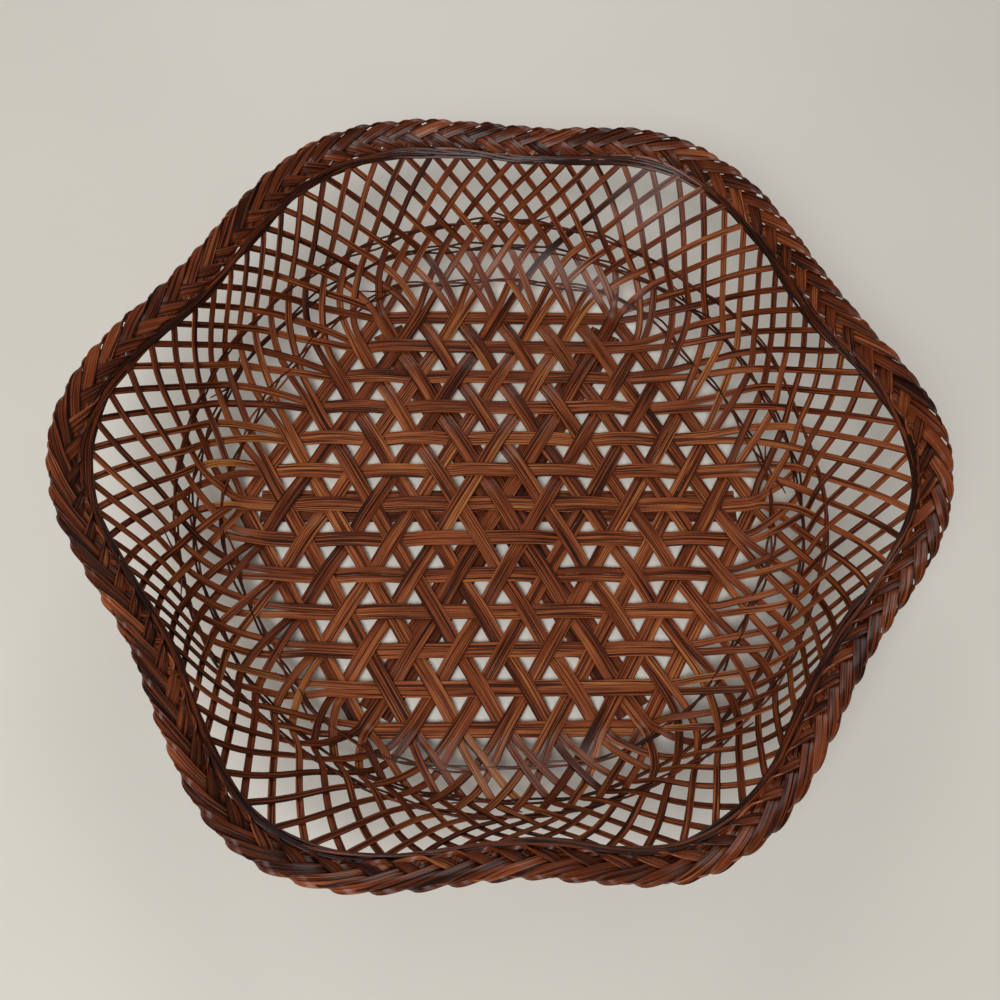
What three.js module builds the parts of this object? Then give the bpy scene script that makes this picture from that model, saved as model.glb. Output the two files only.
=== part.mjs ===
// Bamboo fruit basket: a hexagonal base of triaxial weave, an open wall of crossed splints,
// three hoops threaded through the wall and a plaited rim with six soft lobes.
// Millimetres, +Z up, the basket stands on the slats under its base.
import * as THREE from 'three';

// Base net: weavers run in three directions, one net side apart
const NET_SIDE = 18.9;
const ROWS_EACH_SIDE = 6;
const WEAVER_WIDTH = 5.8;
const WEAVER_THICKNESS = 0.5;
const LAYER_CLEARANCE = 0.35;
const CROSSING_REACH = 5.0;
const CORNER_REACH = 1.0;

// Slats that stiffen the base from corner to corner, below the weave
const SLATS_PER_BAND = 3;
const SLAT_WIDTH = 4.8;
const SLAT_THICKNESS = 0.6;
const SLAT_CLEARANCE = 0.3;
const SLAT_END_INSET = 3.0;
const SLAT_RAMP = 16.0;
const DOME_EDGE = 50.0;

// Wall: stations from the base edge (0) to the rim (4). Each has a share of the wall's height,
// and those between the ends a reach beyond the base edge, at a waist and at a lobe.
const SPLINT_WIDTH = 2.1;
const HEIGHT_SHARE = [0.0, 0.135, 0.307, 0.56, 1.0];
const WAIST_REACH = [15.4, 29.5, 38.1];
const LOBE_REACH = [20.8, 30.8, 38.8];
const RIM_STATION = 4;
const LATTICE_SHIFT = [-1.5, 2.5, 6.6, 12.0, 20.77];
const STRAIGHT_END = 0.3;
const SPREAD_END = 2.3;
const SWING = 2.7;
const TOP_SWING = 1.0;
const SPLINT_TOP_CLEARANCE = 0.3;

// Rim: middle line of the plait. Its lobes and waists in turn have these angles
// and this reach beyond the base edge.
const RIM_ANGLES = [-1.3, 26.8, 60.6, 85.0, 115.6, 147.4, 178.3, 211.0, 241.4, 270.9, 293.2, 325.0];
const RIM_REACH = [69.2, 53.5, 69.1, 54.8, 65.4, 50.9, 69.2, 51.1, 69.0, 53.0, 64.8, 49.2];
const RIM_HEIGHT = 58.6;
const RIM_FLARE = [6.4, 5.2];
const PLAIT_STRANDS = 3;
const PLAIT_TURNS = 26;
const PLAIT_STEPS_PER_TURN = 6;
const STRAND_WIDTH = 4.4;
const STRAND_THICKNESS = 1.0;
const PLAIT_LIFT = 2.5;

// Hoops threaded between the two leans of the wall, and the fine strands inside the rim
const HOOP_STATIONS = [1.05, 2.04, 2.76];
const HOOP_HEIGHT = 1.5;
const HOOP_THICKNESS = 0.9;
const HOOP_STEPS = 48;
const BINDER_SIZE = 1.1;
const BINDER_STATIONS = [3.9, 4.02];
const BINDER_LIFTS = [2.7, 2.15];

// Colours of smoked bamboo
const SPLINT_COLOUR = 0x6b3a24;
const SLAT_COLOUR = 0x7a4228;
const HOOP_COLOUR = 0x3a1d14;
const RIM_COLOUR = 0x5e2f20;

const TURN = 360;
const HALF_TURN = TURN / 2;
const QUARTER_TURN = TURN / 4;
const SIDES = 6;
const SIDE_ANGLE = TURN / SIDES;
const SPLINTS_PER_SIDE = 2 * ROWS_EACH_SIDE + 1;
const SPLINTS_ROUND = SIDES * SPLINTS_PER_SIDE;
const ROW_SPACING = NET_SIDE * Math.sin(Math.PI / 3);
const BASE_EDGE = ROWS_EACH_SIDE * ROW_SPACING;
const WALL_HEIGHT = RIM_HEIGHT - RIM_FLARE[1];
const LAYER_STEP = WEAVER_THICKNESS + LAYER_CLEARANCE;
const LOWEST_LAYER = SLAT_THICKNESS + LAYER_CLEARANCE + WEAVER_THICKNESS / 2;
const BASE_PLANE = LOWEST_LAYER + LAYER_STEP;
const SLAT_STEP = SLAT_THICKNESS + LAYER_CLEARANCE;
const BAND_WIDTH = SLATS_PER_BAND * (SLAT_WIDTH + SLAT_CLEARANCE);
const BAND_CROSSING = BAND_WIDTH / 2 / Math.tan(Math.PI / 6);
const DOME_RISE = 2 * SLAT_STEP;

// Small steps, in degrees round the basket and in stations, that find a direction along the wall
const ANGLE_STEP = 0.02;
const STATION_STEP = 0.01;
const HALVINGS = 30;

const radians = (degrees) => degrees * Math.PI / HALF_TURN;
const degrees = (angle) => angle * HALF_TURN / Math.PI;
const wrap = (angle) => ((angle % TURN) + TURN) % TURN;
const signed = (angle) => wrap(angle + HALF_TURN) - HALF_TURN;
const wrapNumber = (number) => Math.round(number + SPLINTS_ROUND) % SPLINTS_ROUND;
const mix = (a, b, share) => a + (b - a) * share;
const heading = (angle) => new THREE.Vector3(Math.cos(radians(angle)), Math.sin(radians(angle)), 0);
const UP = new THREE.Vector3(0, 0, 1);

// Rim outline: a smooth curve that rises and falls between each waist and lobe
const rimAngles = RIM_ANGLES.concat(RIM_ANGLES[0] + TURN);
const rimReach = RIM_REACH.concat(RIM_REACH[0]);

function rimRadius(angle) {
  let turn = wrap(angle);
  if (turn >= rimAngles[rimAngles.length - 1]) turn -= TURN;
  const next = rimAngles.findIndex((place) => place > turn);
  const last = next - 1;
  const share = (turn - rimAngles[last]) / (rimAngles[next] - rimAngles[last]);
  return BASE_EDGE + mix(rimReach[last], rimReach[next], (1 - Math.cos(Math.PI * share)) / 2);
}

function stationRadius(angle, station) {
  if (station === RIM_STATION) return rimRadius(angle) - RIM_FLARE[0];
  if (station === 0) {
    const fromSide = wrap(angle) % SIDE_ANGLE - SIDE_ANGLE / 2;
    return BASE_EDGE / Math.cos(radians(fromSide));
  }
  const lobe = (1 + Math.cos(radians(SIDES * angle))) / 2;
  return BASE_EDGE + mix(WAIST_REACH[station - 1], LOBE_REACH[station - 1], lobe);
}

// Smooth curve through four neighbouring values
function curve(before, start, end, after, t) {
  const linear = (end - before) * t;
  const square = (2 * before - 5 * start + 4 * end - after) * t * t;
  const cube = (3 * start - before - 3 * end + after) * t * t * t;
  return start + (linear + square + cube) / 2;
}

function alongStations(valueAt, station) {
  const index = Math.min(Math.max(Math.floor(station), 0), RIM_STATION - 1);
  const start = valueAt(index);
  const end = valueAt(index + 1);
  const before = index > 0 ? valueAt(index - 1) : 2 * start - end;
  const after = index < RIM_STATION - 1 ? valueAt(index + 2) : 2 * end - start;
  return curve(before, start, end, after, station - index);
}

const wallRadius = (angle, station) => alongStations((k) => stationRadius(angle, k), station);
const wallHeight = (station) => WALL_HEIGHT * alongStations((k) => HEIGHT_SHARE[k], station);

function wallPoint(angle, station) {
  const point = heading(angle).multiplyScalar(wallRadius(angle, station));
  point.z = BASE_PLANE + wallHeight(station);
  return point;
}

// Unit direction round the wall
function wallRound(angle, station) {
  return wallPoint(angle + ANGLE_STEP, station).sub(wallPoint(angle - ANGLE_STEP, station)).normalize();
}

// Unit normal of the wall, pointing to the inside and up
function wallNormal(angle, station) {
  const rise = wallPoint(angle, station + STATION_STEP).sub(wallPoint(angle, station - STATION_STEP));
  return rise.cross(wallRound(angle, station)).normalize();
}

// One closed skin, grown ring by ring. A ring lists its corners clockwise as seen from behind:
// left top, right top, right bottom, left bottom.
class Skin {
  constructor() {
    this.positions = [];
    this.faces = [];
  }

  ring(points) {
    return points.map((point) => {
      this.positions.push(point.x, point.y, point.z);
      return this.positions.length / 3 - 1;
    });
  }

  quad(a, b, c, d) {
    this.faces.push(a, b, c, a, c, d);
  }

  bridge(from, to) {
    from.forEach((corner, i) => {
      const j = (i + 1) % from.length;
      this.quad(corner, from[j], to[j], to[i]);
    });
  }

  // Joins a plain ring to a forked one of eight corners and closes the notch between its prongs
  fork(from, to) {
    const [leftTop, rightTop, rightBottom, leftBottom] = from;
    this.faces.push(leftTop, rightTop, to[2], rightTop, to[3], to[2]);
    this.faces.push(leftTop, to[2], to[1], leftTop, to[1], to[0]);
    this.quad(rightTop, rightBottom, to[4], to[3]);
    this.faces.push(rightBottom, leftBottom, to[6], leftBottom, to[7], to[6]);
    this.faces.push(rightBottom, to[6], to[5], rightBottom, to[5], to[4]);
    this.quad(leftBottom, leftTop, to[0], to[7]);
    this.quad(to[1], to[2], to[5], to[6]);
  }

  endCap(ring) {
    this.quad(ring[0], ring[1], ring[2], ring[3]);
  }

  startCap(ring) {
    this.quad(ring[3], ring[2], ring[1], ring[0]);
  }

  geometry() {
    const geometry = new THREE.BufferGeometry();
    geometry.setAttribute('position', new THREE.Float32BufferAttribute(this.positions, 3));
    geometry.setIndex(this.faces);
    geometry.computeVertexNormals();
    return geometry;
  }
}

// Corners of a flat strip's section, from its left and right edge points
function stripCorners(left, right, normal, thickness) {
  const half = normal.clone().multiplyScalar(thickness / 2);
  const above = [left.clone().add(half), right.clone().add(half)];
  return above.concat([right.clone().sub(half), left.clone().sub(half)]);
}

const basket = new THREE.Group();

function addPiece(name, skin, colour, roughness) {
  const material = new THREE.MeshStandardMaterial({ color: colour, roughness, metalness: 0 });
  const mesh = new THREE.Mesh(skin.geometry(), material);
  mesh.name = name;
  basket.add(mesh);
}

// Weave of the base. The layer of a weaver at a crossing is 0, 1 or 2, from below: the direction
// along the nearest side stays in the middle and the two others take turns, ring by ring.
const CENTRE_LAYER = { 0: 1, 60: 0, 120: 2 };

function crossingLayer(direction, point) {
  const reach = Math.hypot(point.x, point.y);
  if (reach < NET_SIDE / 2) return CENTRE_LAYER[direction];
  const angle = wrap(degrees(Math.atan2(point.y, point.x)) + ANGLE_STEP);
  const side = Math.floor(angle / SIDE_ANGLE) * SIDE_ANGLE + SIDE_ANGLE / 2;
  const fromSide = wrap(direction - side) % HALF_TURN;
  if (fromSide === QUARTER_TURN) return 1;
  const ringNumber = Math.round(reach * Math.cos(radians(angle - side)) / ROW_SPACING);
  const even = ringNumber % 2 === 0;
  return (fromSide > QUARTER_TURN) === even ? 2 : 0;
}

// The weave rises a little over the middle, where the three bands cross below it
function domeHeight(point) {
  const reach = Math.hypot(point.x, point.y);
  const flat = Math.hypot(BAND_CROSSING, BAND_WIDTH / 2);
  const share = (DOME_EDGE - reach) / (DOME_EDGE - flat);
  return DOME_RISE * Math.min(Math.max(share, 0), 1);
}

// Section of a weaver, square across it, at a distance along it and a level between the layers
function weaverSection(line, along, level) {
  const centre = line.middle.clone().addScaledVector(line.ahead, along);
  const edge = (side) => {
    const point = centre.clone().addScaledVector(line.left, side * WEAVER_WIDTH / 2);
    point.z = LOWEST_LAYER + level * LAYER_STEP + domeHeight(point);
    return point;
  };
  return stripCorners(edge(1), edge(-1), UP, WEAVER_THICKNESS);
}

// Where the straight course of a splint, seen from above, meets the wall at a station
function straightAngle(start, ahead, station) {
  let near = 0;
  let far = 4 * NET_SIDE;
  const angleAt = (distance) => {
    const point = start.clone().addScaledVector(ahead, distance);
    return [degrees(Math.atan2(point.y, point.x)), Math.hypot(point.x, point.y)];
  };
  for (let step = 0; step < HALVINGS; step += 1) {
    const middle = (near + far) / 2;
    const [angle, reach] = angleAt(middle);
    if (reach > wallRadius(angle, station)) far = middle;
    else near = middle;
  }
  return angleAt(near)[0];
}

// Angle of a splint at a station with all splints of one lean evenly spaced
function evenAngle(splint, station) {
  const place = (splint.number + 0.5) / SPLINTS_PER_SIDE - 0.5;
  const shift = alongStations((k) => LATTICE_SHIFT[k], station);
  return splint.side + SIDE_ANGLE * place + splint.lean * shift;
}

// Course of a splint up the wall: it leaves the base straight on, then curves to the even spacing
function splintAngle(splint, station) {
  if (station >= SPREAD_END) return evenAngle(splint, station);
  const start = degrees(Math.atan2(splint.start.y, splint.start.x));
  const straight = straightAngle(splint.start, splint.ahead, STRAIGHT_END);
  const leave = signed(straight - start) / STRAIGHT_END * SPREAD_END;
  const end = evenAngle(splint, SPREAD_END);
  const before = evenAngle(splint, SPREAD_END - STATION_STEP);
  const arrive = (end - before) / STATION_STEP * SPREAD_END;
  const share = station / SPREAD_END;
  const left = 1 - share;
  const nearStart = left * left * (1 + 2 * share);
  return end + signed(start - end) * nearStart + leave * share * left * left - arrive * share * share * left;
}

// Section of a splint on the wall, cut level with the rim
function splintSection(splint, station, lift) {
  const angle = splintAngle(splint, station);
  const pointAt = (place) => wallPoint(splintAngle(splint, place), place);
  const rise = pointAt(station + STATION_STEP).sub(pointAt(station - STATION_STEP)).normalize();
  const across = wallRound(angle, station).cross(rise).length();
  const half = degrees(SPLINT_WIDTH / 2 / across / wallRadius(angle, station));
  const normal = wallNormal(angle, station);
  const edge = (side) => wallPoint(angle + side * half, station).addScaledVector(normal, lift);
  return stripCorners(edge(1), edge(-1), normal, WEAVER_THICKNESS);
}

// The two splints of a weaver part at its end crossing and lean to the same side,
// except on the middle weaver, whose splints part at a corner of the base.
// A splint's number counts along its side of the base, from the end that it leans away from.
function endSplints(direction, row, end, ahead, left) {
  return [1, -1].map((place) => {
    const lean = row > 0 || (row === 0 && place < 0) ? -1 : 1;
    const inner = row !== 0 && place * lean > 0 ? 1 : 0;
    const fromCorner = 2 * Math.abs(row) - inner;
    const number = lean < 0 ? fromCorner : SPLINTS_PER_SIDE - 1 - fromCorner;
    const start = end.clone().addScaledVector(left, place * WEAVER_WIDTH / 4);
    return { side: direction - lean * SIDE_ANGLE / 2, lean, number, start, ahead };
  });
}

// Every splint of the wall by its lean and its number round the basket
const splints = { 1: [], '-1': [] };
const splintIndex = (splint) => (splint.side / SIDE_ANGLE - 1 / 2) * SPLINTS_PER_SIDE + splint.number;
for (let direction = 0; direction < TURN; direction += SIDE_ANGLE) {
  for (let row = -ROWS_EACH_SIDE; row <= ROWS_EACH_SIDE; row += 1) {
    const ahead = heading(direction);
    const left = heading(direction + QUARTER_TURN);
    const end = ahead.clone().multiplyScalar((2 * ROWS_EACH_SIDE - Math.abs(row)) / 2 * NET_SIDE)
      .addScaledVector(left, row * ROW_SPACING);
    endSplints(direction, row, end, ahead, left).forEach((splint) => {
      const place = wrapNumber(splintIndex(splint));
      splints[splint.lean][place] = splint;
    });
  }
}

// Station where a splint crosses the one that starts the given count of places away from it
const crossingStations = new Map();
function crossingStation(splint, count) {
  const index = wrapNumber(splintIndex(splint));
  const first = splint.lean > 0 ? index : wrapNumber(index - count);
  const key = `${first}:${count}`;
  if (crossingStations.has(key)) return crossingStations.get(key);
  const rising = splints[1][first];
  const falling = splints[-1][wrapNumber(first + count)];
  let low = 0;
  let high = RIM_STATION;
  for (let step = 0; step < HALVINGS; step += 1) {
    const middle = (low + high) / 2;
    const apart = splintAngle(falling, middle) - splintAngle(rising, middle);
    if (signed(apart) > 0) low = middle;
    else high = middle;
  }
  crossingStations.set(key, low);
  return low;
}

// A splint swings to the inside of the wall past some of the splints it crosses, then to the
// outside past the next. Each swing is furthest at a count of crossings: 1 is the inside for a
// splint that leans to the left, and the other lean swings the other way. The first and second
// splint of a pair start apart, and a splint that parts at a corner passes the lower hoop first.
const FIRST_SWINGS = [[1, 1], [2, 1], [2.9, -1], [4.42, 1], [6.57, -1]];
const SECOND_SWINGS = [[0.4, 1], [2.7, -1], [4.42, 1], [6.57, -1]];
const CORNER_SWINGS = [[1.5, -1], [2.85, -1], [4.42, 1], [6.57, -1]];

function splintSwings(splint) {
  const atCount = ([count, side]) => {
    const whole = Math.floor(count);
    const [before, after] = [whole, whole + 1].map((n) => crossingStation(splint, n));
    return [mix(before, after, count - whole), side * SWING];
  };
  const top = [splintTop, -TOP_SWING];
  const fromCorner = splint.lean > 0 ? SPLINTS_PER_SIDE - 1 - splint.number : splint.number;
  const hoopSwing = [HOOP_STATIONS[0], SWING];
  if (fromCorner === 0) return [hoopSwing, ...CORNER_SWINGS.map(atCount), top];
  if (fromCorner === SPLINTS_PER_SIDE - 1) return [hoopSwing, ...FIRST_SWINGS.slice(1).map(atCount), top];
  return [...(fromCorner % 2 === 0 ? FIRST_SWINGS : SECOND_SWINGS).map(atCount), top];
}

function growSplint(skin, ring, splint) {
  let last = ring;
  splintSwings(splint).forEach(([station, swing]) => {
    const lift = splint.lean * swing;
    const next = skin.ring(splintSection(splint, station, lift));
    skin.bridge(last, next);
    last = next;
  });
  skin.endCap(last);
}

function growEnd(skin, ring, line, direction, row, knots) {
  let last = ring;
  knots.slice(0, -1).forEach(([along, level]) => {
    const next = skin.ring(weaverSection(line, along, level));
    skin.bridge(last, next);
    last = next;
  });
  const [along, level] = knots[knots.length - 1];
  const [leftTop, rightTop, rightBottom, leftBottom] = weaverSection(line, along, level);
  const inset = (from, to) => from.clone().lerp(to, SPLINT_WIDTH / WEAVER_WIDTH);
  const forked = skin.ring([
    leftTop, inset(leftTop, rightTop), inset(rightTop, leftTop), rightTop,
    rightBottom, inset(rightBottom, leftBottom), inset(leftBottom, rightBottom), leftBottom,
  ]);
  skin.fork(last, forked);
  const end = line.middle.clone().addScaledVector(line.ahead, line.reach);
  const [onLeft, onRight] = endSplints(direction, row, end, line.ahead, line.left);
  growSplint(skin, [forked[0], forked[1], forked[6], forked[7]], onLeft);
  growSplint(skin, [forked[2], forked[3], forked[4], forked[5]], onRight);
}

// Places along a weaver where it changes level: both sides of each crossing
function weaverKnots(line, direction, row) {
  const crossings = 2 * ROWS_EACH_SIDE + 1 - Math.abs(row);
  const knots = [];
  for (let i = 0; i < crossings; i += 1) {
    const along = (i - (crossings - 1) / 2) * NET_SIDE;
    const point = line.middle.clone().addScaledVector(line.ahead, along);
    const level = crossingLayer(direction, point);
    const corner = row === 0 && (i === 0 || i === crossings - 1);
    const reach = corner ? CORNER_REACH : CROSSING_REACH;
    knots.push([along - (i === 0 ? reach : CROSSING_REACH), level, point]);
    knots.push([along + (i === crossings - 1 ? reach : CROSSING_REACH), level, point]);
  }
  return knots.filter(([, level, point], i) => {
    const domed = Math.hypot(point.x, point.y) < DOME_EDGE;
    const ends = i === 0 || i === knots.length - 1;
    return ends || domed || knots[i - 1][1] !== level || knots[i + 1][1] !== level;
  });
}

function weaver(direction, row) {
  const skin = new Skin();
  const ahead = heading(direction);
  const left = heading(direction + QUARTER_TURN);
  const middle = left.clone().multiplyScalar(row * ROW_SPACING);
  const reach = (2 * ROWS_EACH_SIDE - Math.abs(row)) / 2 * NET_SIDE;
  const line = { ahead, left, middle, reach };
  const knots = weaverKnots(line, direction, row);
  const start = Math.floor(knots.length / 2);
  const ring = skin.ring(weaverSection(line, knots[start][0], knots[start][1]));
  growEnd(skin, ring, line, direction, row, knots.slice(start + 1));
  const back = { ahead: ahead.clone().negate(), left: left.clone().negate(), middle, reach };
  const backKnots = knots.slice(0, start).reverse().map(([along, level]) => [-along, level]);
  growEnd(skin, [ring[1], ring[0], ring[3], ring[2]], back, direction + HALF_TURN, -row, backKnots);
  return skin;
}

// A slat runs from corner to corner. The second and third bands ramp up over those below.
function slat(direction, place, layer) {
  const skin = new Skin();
  const ahead = heading(direction);
  const left = heading(direction + QUARTER_TURN);
  const offset = place * (SLAT_WIDTH + SLAT_CLEARANCE);
  const end = BASE_EDGE / Math.cos(Math.PI / SIDES) - SLAT_END_INSET - Math.abs(offset);
  const ramp = layer > 0 ? [[BAND_CROSSING, layer * SLAT_STEP], [BAND_CROSSING + SLAT_RAMP, 0]] : [];
  const after = ramp.concat([[end, 0]]);
  const before = after.map(([along, lift]) => [-along, lift]).reverse();
  let last = null;
  before.concat(after).forEach(([along, lift]) => {
    const centre = ahead.clone().multiplyScalar(along);
    centre.z = SLAT_THICKNESS / 2 + lift;
    const edge = (side) => centre.clone().addScaledVector(left, offset + side * SLAT_WIDTH / 2);
    const next = skin.ring(stripCorners(edge(1), edge(-1), UP, SLAT_THICKNESS));
    if (last) skin.bridge(last, next);
    else skin.startCap(next);
    last = next;
  });
  skin.endCap(last);
  return skin;
}

// A closed hoop. The course gives its centre, its direction and the way its thickness points
// at each share of a turn.
function hoop(courseAt, width, thickness, steps) {
  const skin = new Skin();
  const rings = [];
  for (let step = 0; step < steps; step += 1) {
    const { centre, inward, along } = courseAt(step / steps);
    const half = inward.clone().cross(along).normalize().multiplyScalar(width / 2);
    const edges = [centre.clone().add(half), centre.clone().sub(half)];
    rings.push(skin.ring(stripCorners(...edges, inward, thickness)));
  }
  rings.forEach((ring, i) => skin.bridge(ring, rings[(i + 1) % steps]));
  return skin;
}

function wallHoop(station, lift, width, thickness) {
  return hoop((share) => {
    const angle = share * TURN;
    const inward = wallNormal(angle, station);
    const centre = wallPoint(angle, station).addScaledVector(inward, lift);
    return { centre, inward, along: wallRound(angle, station) };
  }, width, thickness, HOOP_STEPS);
}

// The rim is a flat plait of three strands that slopes outwards
const flare = Math.hypot(...RIM_FLARE);
const [flareOut, flareUp] = RIM_FLARE.map((side) => side / flare);
const plaitReach = flare - STRAND_WIDTH / 2;

function plaitPoint(share, phase) {
  const angle = share * TURN;
  const turn = 2 * Math.PI * (PLAIT_TURNS * share + phase);
  const across = plaitReach * Math.cos(turn);
  const lift = PLAIT_LIFT * Math.sin(2 * turn);
  const point = heading(angle).multiplyScalar(rimRadius(angle) + across * flareOut - lift * flareUp);
  point.z = BASE_PLANE + RIM_HEIGHT + across * flareUp + lift * flareOut;
  return point;
}

function plaitStrand(number) {
  const steps = PLAIT_TURNS * PLAIT_STEPS_PER_TURN;
  const pointAt = (share) => plaitPoint(share, number / PLAIT_STRANDS);
  return hoop((share) => {
    const along = pointAt(share + 1 / steps).sub(pointAt(share - 1 / steps)).normalize();
    const inward = heading(share * TURN).multiplyScalar(-flareUp);
    inward.z = flareOut;
    return { centre: pointAt(share), inward, along };
  }, STRAND_WIDTH, STRAND_THICKNESS, steps);
}

// The splints end just below the lower edge of the plait
const lastRise = WALL_HEIGHT * (HEIGHT_SHARE[RIM_STATION] - HEIGHT_SHARE[RIM_STATION - 1]);
const splintTop = RIM_STATION - SPLINT_TOP_CLEARANCE / lastRise;

[['east', 0], ['northeast', 60], ['northwest', 120]].forEach(([name, direction], layer) => {
  for (let row = -ROWS_EACH_SIDE; row <= ROWS_EACH_SIDE; row += 1) {
    const number = String(row + ROWS_EACH_SIDE + 1).padStart(2, '0');
    addPiece(`weaver_${name}_${number}`, weaver(direction, row), SPLINT_COLOUR, 0.45);
  }
  for (let i = 0; i < SLATS_PER_BAND; i += 1) {
    const place = i - (SLATS_PER_BAND - 1) / 2;
    addPiece(`base_slat_${name}_${i + 1}`, slat(direction, place, layer), SLAT_COLOUR, 0.5);
  }
});

['lower', 'middle', 'upper'].forEach((name, i) => {
  const skin = wallHoop(HOOP_STATIONS[i], 0, HOOP_HEIGHT, HOOP_THICKNESS);
  addPiece(`wall_hoop_${name}`, skin, HOOP_COLOUR, 0.5);
});

for (let i = 0; i < PLAIT_STRANDS; i += 1) {
  addPiece(`rim_plait_strand_${i + 1}`, plaitStrand(i), RIM_COLOUR, 0.4);
}

BINDER_STATIONS.forEach((station, i) => {
  const skin = wallHoop(station, BINDER_LIFTS[i], BINDER_SIZE, BINDER_SIZE);
  addPiece(`rim_binder_${i + 1}`, skin, HOOP_COLOUR, 0.5);
});

// The origin lies below the middle of the outline
const outline = new THREE.Box3().setFromObject(basket);
basket.position.set(-(outline.min.x + outline.max.x) / 2, -(outline.min.y + outline.max.y) / 2, 0);

export default basket;
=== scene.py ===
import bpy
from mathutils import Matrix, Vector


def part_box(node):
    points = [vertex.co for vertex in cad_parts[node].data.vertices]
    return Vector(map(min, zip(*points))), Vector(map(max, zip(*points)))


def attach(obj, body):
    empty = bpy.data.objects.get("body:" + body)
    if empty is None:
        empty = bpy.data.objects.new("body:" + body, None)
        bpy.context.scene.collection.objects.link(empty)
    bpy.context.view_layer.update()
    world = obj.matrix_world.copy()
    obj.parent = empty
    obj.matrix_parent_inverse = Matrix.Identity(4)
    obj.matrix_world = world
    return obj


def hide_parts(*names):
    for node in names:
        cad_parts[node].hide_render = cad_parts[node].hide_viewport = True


bl_info = {
    "name": "Woven bamboo basket",
    "version": (1, 0, 0),
    "blender": (4, 5, 0),
    "location": "View3D > Sidebar > Basket",
    "description": "A hexagonal basket of smoked bamboo splints with a plaited rim",
    "category": "Object",
}

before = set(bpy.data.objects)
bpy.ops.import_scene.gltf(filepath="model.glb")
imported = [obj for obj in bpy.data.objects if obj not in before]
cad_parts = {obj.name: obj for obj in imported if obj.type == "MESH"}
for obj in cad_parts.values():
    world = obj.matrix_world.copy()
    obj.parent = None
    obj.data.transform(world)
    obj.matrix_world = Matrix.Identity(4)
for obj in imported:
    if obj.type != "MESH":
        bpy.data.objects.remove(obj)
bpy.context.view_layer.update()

import math
import random

import bmesh
import bpy
from mathutils import Matrix, Vector, noise

MM = 0.001
TURN = 360

# The basket's courses as the solids have them: lengths in millimetres, angles in degrees, and
# stations that count up the wall from the base edge (0) to the rim (4)
NET_SIDE = 18.9
ROWS_EACH_SIDE = 6
SIDES = 6
SIDE_ANGLE = TURN / SIDES
SPLINTS_PER_SIDE = 2 * ROWS_EACH_SIDE + 1
SPLINTS_ROUND = SIDES * SPLINTS_PER_SIDE
ROW_SPACING = NET_SIDE * math.sin(math.radians(60))
LAYER_STEP = 0.85
BASE_PLANE = 2.05
DOME_RISE = 1.9
DOME_FLAT = 15.3
DOME_EDGE = 50.0
SLATS_PER_BAND = 3
SLAT_SPACING = 5.1
SLAT_STEP = 0.95
SLAT_CROSSING = 13.25
SLAT_RAMP = 16.0
SLAT_REACH = 110.4
BASE_EDGE = ROWS_EACH_SIDE * ROW_SPACING
HEIGHT_SHARE = [0.0, 0.135, 0.307, 0.56, 1.0]
WAIST_REACH = [15.4, 29.5, 38.1]
LOBE_REACH = [20.8, 30.8, 38.8]
RIM_STATION = 4
LATTICE_SHIFT = [-1.5, 2.5, 6.6, 12.0, 20.77]
STRAIGHT_END = 0.3
SPREAD_END = 2.3
RIM_ANGLES = [-1.3, 26.8, 60.6, 85.0, 115.6, 147.4, 178.3, 211.0, 241.4, 270.9, 293.2, 325.0]
RIM_REACH = [69.2, 53.5, 69.1, 54.8, 65.4, 50.9, 69.2, 51.1, 69.0, 53.0, 64.8, 49.2]
RIM_HEIGHT = 58.6
RIM_FLARE = (6.4, 5.2)
WALL_HEIGHT = RIM_HEIGHT - RIM_FLARE[1]
HOOP_STATIONS = [1.05, 2.04, 2.76]
DIRECTIONS = (("east", 0), ("northeast", 60), ("northwest", 120))

# Steps over which slopes of the wall are measured
ANGLE_STEP = 0.5
STATION_STEP = 0.02

# A weaver is a pair of splints, this far from its middle line. They keep to one layer for some
# way on both sides of a crossing, leave the base at a station, and end under the rim band.
PAIR_OFFSET = 1.65
WALL_WIDTH_SHARE = 0.82
CROSSING_REACH = 4.6
LEAVE_STATION = 0.3
END_PLACES = (-7.6, -5.4, -3.2)
END_ENTRY = 8.2
END_LEAN = 0.16
END_DEPTH = 0.3
END_PARTING = 0.4

# Each splint wanders a little: how fast, how far, and on the wall less near its ends
BASE_DRIFT_RATE = 0.04
BASE_DRIFT = 0.35
WALL_DRIFT_RATE = 0.9
WALL_DRIFT = 0.9
WALL_DRIFT_GROWTH = 0.5
WALL_MEAN_RADIUS = 130

# Steps of a splint's course: on the base for each side of the net, and on the wall eight to a
# station and fifteen in the last. Counted from its end, where it widens towards the base, and
# where painted shade darkens it up the wall towards the end, each with the number of steps that
# this takes.
BASE_STEPS = 8
WALL_STEPS = [k / 8 for k in range(2, 24)] + [3 + k / 15 for k in range(15)]
WIDEN_FROM = 14
WIDEN_STEPS = 12
DARKEN_FROM = 30
DARKEN_STEPS = 14

# Halvings in the search for a place on the wall and for a crossing, and steps of the table of
# angles for each station
WALL_HALVINGS = 18
CROSSING_HALVINGS = 16
TABLE_STEPS = 10

SLAT_HALF_STEPS = 46

# The strands of a hoop run once round the wall and a little on, twisted loosely round each
# other; their ends lift
HOOP_STRANDS = 3
HOOP_STEPS = 420
HOOP_LENGTH = 372
HOOP_START = 40
HOOP_STRAND_START = 110
HOOP_END_LENGTH = 5
HOOP_END_RISE = 5
HOOP_TWISTS = 17
HOOP_TWIST_LIFT = 0.34
HOOP_TWIST_RISE = 0.7
HOOP_FLATNESS = 0.8

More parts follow.
